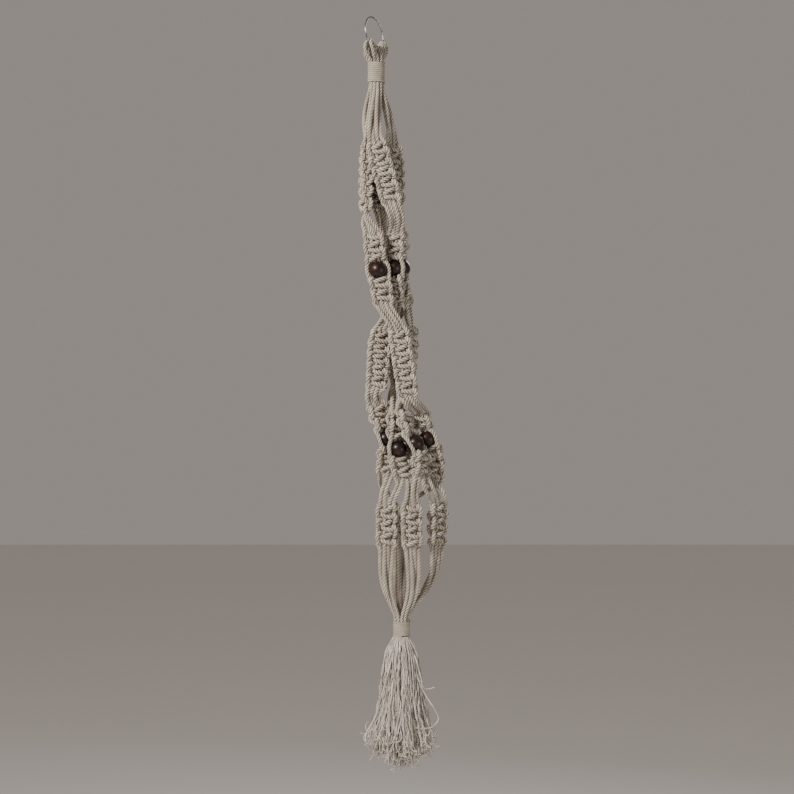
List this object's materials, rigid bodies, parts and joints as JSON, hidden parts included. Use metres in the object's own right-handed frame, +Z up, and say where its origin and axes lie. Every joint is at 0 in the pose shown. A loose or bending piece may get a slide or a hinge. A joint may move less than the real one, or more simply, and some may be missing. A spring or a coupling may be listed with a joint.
{
  "type": "hanging planter",
  "caption": "Hanging planter knotted from cotton cord: arms of square knots with wooden beads run from a steel ring to a knotted basket for a pot and a full tassel.",
  "frame": {"origin": "where a hook bears inside the top of the ring", "axes": "+Z up along the hanging planter, +X to its right seen from the front, -Y the front"},
  "size_m": [0.1225, 0.117, 1.0704],
  "materials": {
    "steel": "bright drawn wire",
    "cord": "matt three-ply cotton rope, natural",
    "wrap": "fine cotton cord wound close",
    "bead": "dark varnish, glossy",
    "tassel": "combed cotton threads with a soft sheen"
  },
  "bodies": {
    "ring": {"hanging_ring": "steel"},
    "hanger": {"cord_fold": "cord", "top_wrap": "wrap", "left_upper_cords": "cord", "left_upper_sennit": "cord", "left_crossing_cords": "cord", "left_upper_bead_knots": "cord", "left_waist_cords": "cord", "left_long_sennit": "cord", "left_link_cords": "cord", "left_lower_bead_knots": "cord", "left_basket_cords": "cord", "left_basket_sennit": "cord", "left_gather_cords": "cord", "front_upper_cords": "cord", "front_upper_sennit": "cord", "front_crossing_cords": "cord", "front_upper_bead_knots": "cord", "front_waist_cords": "cord", "front_long_sennit": "cord", "front_link_cords": "cord", "front_lower_bead_knots": "cord", "front_basket_cords": "cord", "front_basket_sennit": "cord", "front_gather_cords": "cord", "right_upper_cords": "cord", "right_upper_sennit": "cord", "right_crossing_cords": "cord", "right_upper_bead_knots": "cord", "right_waist_cords": "cord", "right_long_sennit": "cord", "right_link_cords": "cord", "right_lower_bead_knots": "cord", "right_basket_cords": "cord", "right_basket_sennit": "cord", "right_gather_cords": "cord", "back_upper_cords": "cord", "back_upper_sennit": "cord", "back_crossing_cords": "cord", "back_upper_bead_knots": "cord", "back_waist_cords": "cord", "back_long_sennit": "cord", "back_link_cords": "cord", "back_lower_bead_knots": "cord", "back_basket_cords": "cord", "back_basket_sennit": "cord", "back_gather_cords": "cord", "bottom_wrap": "wrap"},
    "left_upper_bead": {"left_upper_bead": "bead"},
    "left_lower_bead": {"left_lower_bead": "bead"},
    "front_upper_bead": {"front_upper_bead": "bead"},
    "front_lower_bead": {"front_lower_bead": "bead"},
    "right_upper_bead": {"right_upper_bead": "bead"},
    "right_lower_bead": {"right_lower_bead": "bead"},
    "back_upper_bead": {"back_upper_bead": "bead"},
    "back_lower_bead": {"back_lower_bead": "bead"},
    "tassel": {"tassel": "tassel"}
  },
  "joints": [
    {"name": "hanger_swing", "type": "hinge", "parent": "ring", "child": "hanger", "pos_m": [0.00314, 0, -0.02238], "axis": [0.8576, -0.5, 0.1205], "range_deg": [-45, 45]},
    {"name": "left_upper_bead_spin", "type": "hinge", "parent": "hanger", "child": "left_upper_bead", "pos_m": [0.0085, -0.013, -0.3605], "axis": [0.1821, 0, -0.9833], "continuous": true},
    {"name": "left_lower_bead_spin", "type": "hinge", "parent": "hanger", "child": "left_lower_bead", "pos_m": [0.079, 0.0075, -0.6015], "axis": [0.4059, 0.0338, -0.9133], "continuous": true},
    {"name": "front_upper_bead_spin", "type": "hinge", "parent": "hanger", "child": "front_upper_bead", "pos_m": [0.0315, 0.0045, -0.3565], "axis": [-0.037, 0.037, -0.9986], "continuous": true},
    {"name": "front_lower_bead_spin", "type": "hinge", "parent": "hanger", "child": "front_lower_bead", "pos_m": [0.0195, 0, -0.601], "axis": [0.26, 0, -0.9656], "continuous": true},
    {"name": "right_upper_bead_spin", "type": "hinge", "parent": "hanger", "child": "right_upper_bead", "pos_m": [0.0425, 0.03, -0.355], "axis": [0.0357, 0, -0.9994], "continuous": true},
    {"name": "right_lower_bead_spin", "type": "hinge", "parent": "hanger", "child": "right_lower_bead", "pos_m": [0.0615, -0.021, -0.607], "axis": [0.4986, -0.0665, -0.8643], "continuous": true},
    {"name": "back_upper_bead_spin", "type": "hinge", "parent": "hanger", "child": "back_upper_bead", "pos_m": [0.007, 0.035, -0.3525], "axis": [0.0688, 0, -0.9976], "continuous": true},
    {"name": "back_lower_bead_spin", "type": "hinge", "parent": "hanger", "child": "back_lower_bead", "pos_m": [0.0375, -0.016, -0.615], "axis": [0.1063, -0.0708, -0.9918], "continuous": true},
    {"name": "tassel_swing", "type": "hinge", "parent": "hanger", "child": "tassel", "pos_m": [0.042, -0.016, -0.8932], "axis": [0, 1, 0], "range_deg": [-25, 25]}
  ]
}
